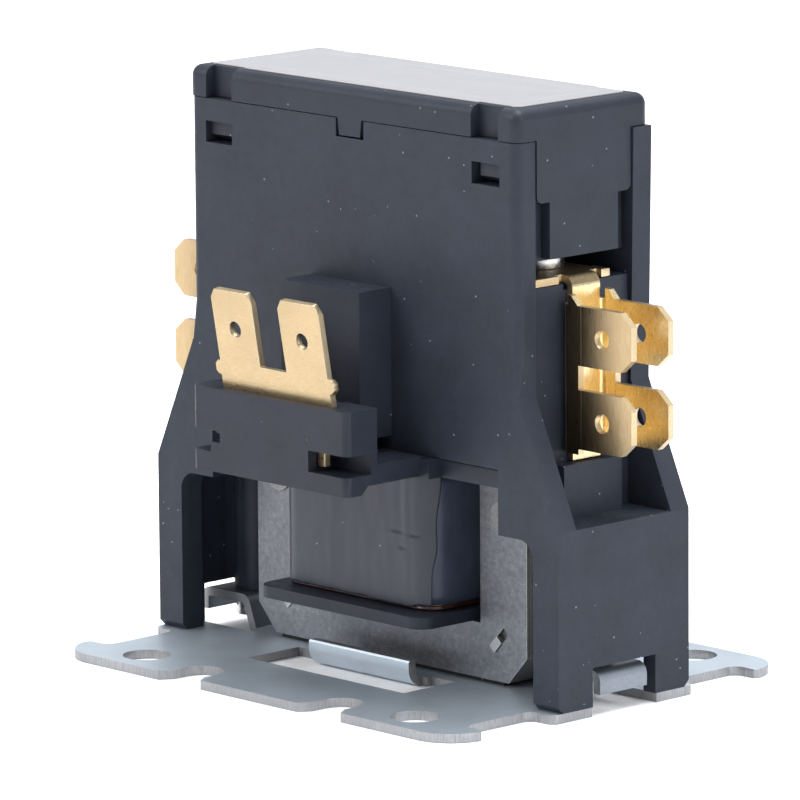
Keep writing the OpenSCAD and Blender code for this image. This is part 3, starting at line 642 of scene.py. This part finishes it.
def outer_sheets():
    hx, hy, r = 12.0, 9.4, 2.9
    arc = math.pi * r / 2

    def right(z):
        w = (z - 9.5) / 13.8
        return (hx - r) + arc * (0.46 + 0.24 * w + 0.035 * n3(z * 0.35, 9.0, 0) + 0.018 * math.sin(z * 0.9))

    def left(z):
        return -(hx - r) - arc * (0.80 + 0.05 * n3(z * 0.5, 2.0, 3.0))

    def low(s):
        return 9.12 + 0.35 * max(0.0, 1 - abs(s + 9) / 3.5) * 0.4 + 0.10 * n3(s * 0.45, 5.0, 0) + (0.28 if s > 8.6 else 0.0) * min(1, (s - 8.6) / 1.2) + (0.10 if -8 < s < 2 else 0)

    def high(s):
        return 23.55 + 0.10 * n3(s * 0.5, 8.0, 2)

    both = bmesh.new()
    for flip in (1, -1):
        bm = film("sheet", mat_tape, left, right, low, high, hx, hy, r, 0.055, sheet_disp, 150, 70, flip=flip)
        tmp = bpy.data.meshes.new("tmp")
        bm.to_mesh(tmp)
        bm.free()
        both.from_mesh(tmp)
        bpy.data.meshes.remove(tmp)
    bmesh.ops.recalc_face_normals(both, faces=both.faces)
    return finish_bm(both, "coil_tape_sheets", [mat_tape], "frame", "coil_tape")


sleeve()
outer_sheets()


# ---- springs, with closed ends
def helix(cx, cy, rm, z0, z1, rw, turns, closed=0.9):
    pts = []
    total = turns + 2 * closed
    n = int(total * 28)
    h = (z1 - z0) - 2 * rw
    dead = 2 * rw * 1.02
    for i in range(n + 1):
        t = total * i / n
        if t < closed:
            z = dead * t
        elif t > total - closed:
            z = h - dead * (total - t)
        else:
            a, b = dead * closed, h - dead * closed
            z = a + (b - a) * (t - closed) / turns
        ang = 2 * math.pi * t
        pts.append((cx + rm * math.cos(ang), cy + rm * math.sin(ang), z0 + rw + z))
    return pts


both = bmesh.new()
for sx in (-1, 1):
    bm = tube(helix(sx * 10.55, 0, 2.3, 25.82, 35.78, 0.25, 4.2), 0.25, 12)
    tmp = bpy.data.meshes.new("tmp")
    bm.to_mesh(tmp)
    bm.free()
    both.from_mesh(tmp)
    bpy.data.meshes.remove(tmp)
o = finish_bm(both, "return_spring_pair", [mat_spring], "frame", "return_springs")
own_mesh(o)
o = finish_bm(tube(helix(0, 0, 2.1, 52.67, 57.97, 0.3, 2.6), 0.3, 12), "contact_press_spring", [mat_spring], "carrier", "contact_spring")
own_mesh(o)

# ---- coil leads
both = bmesh.new()
for k in (1, -1):
    path = rounded_path([(-6.8 * k, -9.6 * k, 22.9), (-6.8 * k, -11.2 * k, 22.9), (-6.8 * k, -11.2 * k, 27.2), (-6.8 * k, -19.75 * k, 27.2)], 0.9)
    bm = tube(path, 0.3, 14)
    tmp = bpy.data.meshes.new("tmp")
    bm.to_mesh(tmp)
    bm.free()
    both.from_mesh(tmp)
    bpy.data.meshes.remove(tmp)
finish_bm(both, "coil_lead_wires", [mat_wire], "frame", "coil_leads")

# ------------------------------------------------------------------ stage, light, camera
m = Mat("studio_floor")
n1 = m.noise(0.004, 2, 0.5)
m.base(m.ramp(n1, [(0.3, (0.90, 0.905, 0.915)), (0.7, (0.93, 0.932, 0.94))]))
m.rough(n1, 0.75, 0.9)
m.set(spec=0.2)
bpy.ops.mesh.primitive_plane_add(size=8.0, location=(0, 0, -0.00002))
floor = bpy.context.object
floor.name = "studio_floor"
floor.data.materials.append(m.m)

world = bpy.data.worlds.new("studio")
scene.world = world
world.use_nodes = True
wn = world.node_tree.nodes
wl = world.node_tree.links
wn.clear()
wo = wn.new("ShaderNodeOutputWorld")
bg = wn.new("ShaderNodeBackground")
tc = wn.new("ShaderNodeTexCoord")
sp = wn.new("ShaderNodeSeparateXYZ")
cr = wn.new("ShaderNodeValToRGB")
mr = wn.new("ShaderNodeMapRange")
mr.inputs[1].default_value = -0.3
mr.inputs[2].default_value = 1.0
wl.new(tc.outputs["Generated"], sp.inputs[0])
wl.new(sp.outputs[2], mr.inputs[0])
wl.new(mr.outputs[0], cr.inputs[0])
el = cr.color_ramp.elements
el[0].position, el[0].color = 0.0, (0.80, 0.82, 0.86, 1)
el[1].position, el[1].color = 1.0, (0.95, 0.97, 1.0, 1)
wl.new(cr.outputs[0], bg.inputs[0])
bg.inputs[1].default_value = 0.78
wl.new(bg.outputs[0], wo.inputs[0])


def area(name, loc, target, size, energy, color=(1, 1, 1), size_y=None):
    d = bpy.data.lights.new(name, "AREA")
    d.energy = energy
    d.size = size
    d.color = color
    if size_y:
        d.shape = "RECTANGLE"
        d.size_y = size_y
    o = bpy.data.objects.new(name, d)
    o.location = loc
    o.rotation_euler = (Vector(target) - Vector(loc)).to_track_quat("-Z", "Y").to_euler()
    scene.collection.objects.link(o)
    return o


area("key_left", (-0.45, -0.70, 0.55), (0, 0, 0.03), 0.5, 5.0, (1.0, 0.98, 0.96))
area("fill_right", (0.85, 0.15, 0.40), (0, 0, 0.03), 0.5, 3.8, (0.96, 0.98, 1.0))
area("top", (0.0, 0.10, 0.85), (0, 0, 0.0), 0.7, 12.0)

R = Vector((0.68849, 0.72521, -0.00720)).normalized()
F = Vector((-0.71364, 0.67568, -0.18487)).normalized()
U = R.cross(F).normalized()
R = F.cross(U).normalized()
cam_data = bpy.data.cameras.new("view")
cam_data.lens = 342.14
cam_data.sensor_width = 36.0
cam_data.clip_start = 0.01
cam = bpy.data.objects.new("view", cam_data)
cam.matrix_world = Matrix(((R.x, U.x, -F.x, 0.58508), (R.y, U.y, -F.y, -0.55660), (R.z, U.z, -F.z, 0.18113), (0, 0, 0, 1)))
scene.collection.objects.link(cam)
scene.camera = cam
scene.view_settings.view_transform = "Standard"
scene.view_settings.look = "None"
